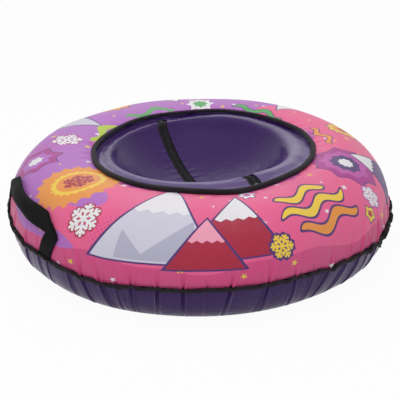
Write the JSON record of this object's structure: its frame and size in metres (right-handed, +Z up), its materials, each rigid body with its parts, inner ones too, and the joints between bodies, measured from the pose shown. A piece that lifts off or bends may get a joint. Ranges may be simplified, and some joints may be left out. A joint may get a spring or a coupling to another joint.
{
  "type": "snow tube",
  "caption": "Round inflatable snow tube: soft printed top cover, glossy base, sunk seat closed by a zip, rubber inner tube with a valve, and webbing grab handles at the sides.",
  "frame": {"origin": "on the ground under the middle of the ring", "axes": "+Z up, +Y along the zip towards its closed far end, +X towards the right handle"},
  "size_m": [0.91, 0.91, 0.213],
  "materials": {
    "printed_cover": "satin woven polyester with a printed pattern",
    "purple_sheeting": "glossy coated sheeting, lightly creased",
    "black_tape": "matte ribbed woven tape",
    "black_webbing": "matte flat woven webbing",
    "tube_rubber": "dull butyl rubber",
    "zip_plastic": "nylon coil, slightly shiny",
    "zip_metal": "die-cast metal, plain",
    "brass": "turned brass",
    "spring_steel": "drawn spring wire",
    "cap_plastic": "moulded cap plastic"
  },
  "bodies": {
    "tube_body": {"top_cover": "printed_cover", "bottom_cover": "purple_sheeting", "seat_panel": "purple_sheeting", "rim_binding": "black_tape", "seam_binding": "black_tape", "handle_left_end_near": "black_webbing", "handle_left_end_far": "black_webbing", "handle_right_end_near": "black_webbing", "handle_right_end_far": "black_webbing", "inner_tube": "tube_rubber", "valve_foot": "tube_rubber", "valve_stem": "brass", "valve_core": "brass", "valve_core_seal": "tube_rubber", "zip_tape_left": "black_tape", "zip_tape_right": "black_tape", "zip_coil_left": "zip_plastic", "zip_coil_right": "zip_plastic", "zip_bottom_stop": "zip_metal", "zip_top_stop_left": "zip_metal", "zip_top_stop_right": "zip_metal"},
    "left_handle_body": {"handle_left": "black_webbing"},
    "right_handle_body": {"handle_right": "black_webbing"},
    "slider_body": {"zip_slider": "zip_metal"},
    "pull_body": {"zip_pull": "zip_metal"},
    "cap_body": {"valve_cap": "cap_plastic"},
    "pin_body": {"valve_pin": "brass", "valve_spring": "spring_steel"}
  },
  "joints": [
    {"name": "handle_left_swing", "type": "hinge", "parent": "tube_body", "child": "left_handle_body", "pos_m": [-0.43682, 0, 0.08735], "axis": [0, -1, 0], "range_deg": [0, 150]},
    {"name": "handle_right_swing", "type": "hinge", "parent": "tube_body", "child": "right_handle_body", "pos_m": [0.3534, 0.25676, 0.08735], "axis": [-0.5878, 0.809, 0], "range_deg": [0, 150]},
    {"name": "zip_slider_travel", "type": "hinge", "parent": "tube_body", "child": "slider_body", "pos_m": [0, 0, 0.355], "axis": [1, 0, 0], "range_deg": [0, 76]},
    {"name": "zip_pull_flip", "type": "hinge", "parent": "slider_body", "child": "pull_body", "pos_m": [0, -0.1746, 0.16302], "axis": [1, 0, 0], "range_deg": [0, 165]},
    {"name": "valve_cap_off", "type": "slide", "parent": "tube_body", "child": "cap_body", "axis": [1, 0, 0], "range_m": [0, 0.014]},
    {"name": "valve_pin_press", "type": "slide", "parent": "tube_body", "child": "pin_body", "axis": [-1, 0, 0], "range_m": [0, 0.0015], "stiffness_N_per_m": 800, "springref_m": -0.0005}
  ]
}
